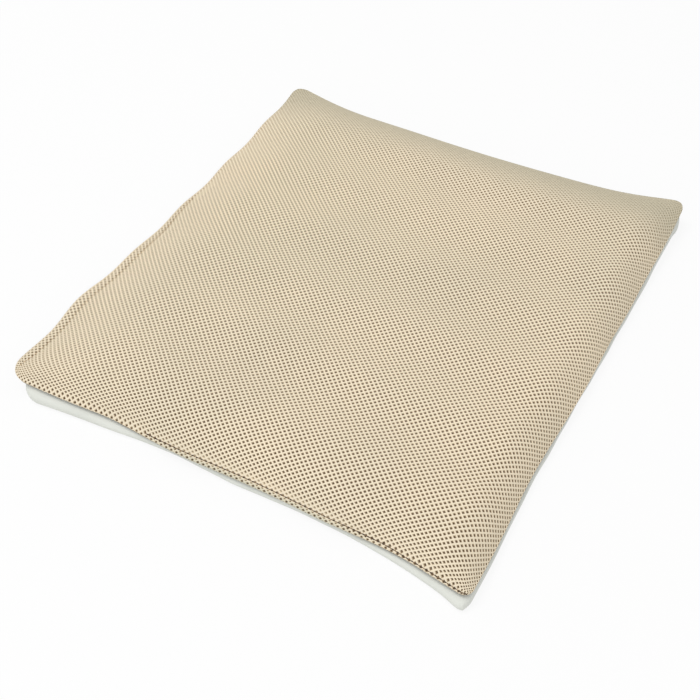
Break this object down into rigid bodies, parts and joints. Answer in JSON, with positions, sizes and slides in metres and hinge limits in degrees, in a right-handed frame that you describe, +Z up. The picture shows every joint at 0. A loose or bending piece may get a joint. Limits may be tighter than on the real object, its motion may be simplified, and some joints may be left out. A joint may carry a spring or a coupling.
{
  "type": "ventilated mesh cushion pad",
  "caption": "Thin near-square cushion pad with a beige air-mesh top, an off-white cloth base, a two-layer foam core and a zip along its left side.",
  "frame": {"origin": "middle of the overall box, on the plane of the underside", "axes": "+Z up, +X along the width, +Y from the front edge to the back edge; the zip is on the -X side"},
  "size_m": [0.4075, 0.4507, 0.035],
  "materials": {
    "air_mesh": "matte",
    "base_cloth": "matte",
    "firm_foam": "matte",
    "soft_foam": "matte",
    "zip_tape": "matte",
    "zip_coil": "satin",
    "zip_metal": "satin",
    "spring_steel": "satin"
  },
  "bodies": {
    "cover": {"mesh_top_panel": "air_mesh", "base_panel": "base_cloth", "foam_base_slab": "firm_foam", "ribbed_comfort_layer": "soft_foam", "zip_tape_upper": "zip_tape", "zip_tape_lower": "zip_tape", "zip_coil_upper": "zip_coil", "zip_coil_lower": "zip_coil", "zip_top_stops": "zip_metal", "zip_bottom_stop": "zip_metal"},
    "slider": {"zip_slider_body": "zip_metal", "zip_slider_cap": "zip_metal", "zip_lock_spring": "spring_steel"},
    "pull_tab": {"zip_pull_tab": "zip_metal"}
  },
  "joints": [
    {"name": "zip_slide", "type": "slide", "parent": "cover", "child": "slider", "axis": [0, -1, 0], "range_m": [0, 0.33], "deforming": ["zip_coil_upper", "zip_coil_lower"]},
    {"name": "pull_tab_hinge", "type": "hinge", "parent": "slider", "child": "pull_tab", "pos_m": [-0.1969, 0.17, 0.0065], "axis": [0, 0, -1], "range_deg": [0, 172]}
  ]
}
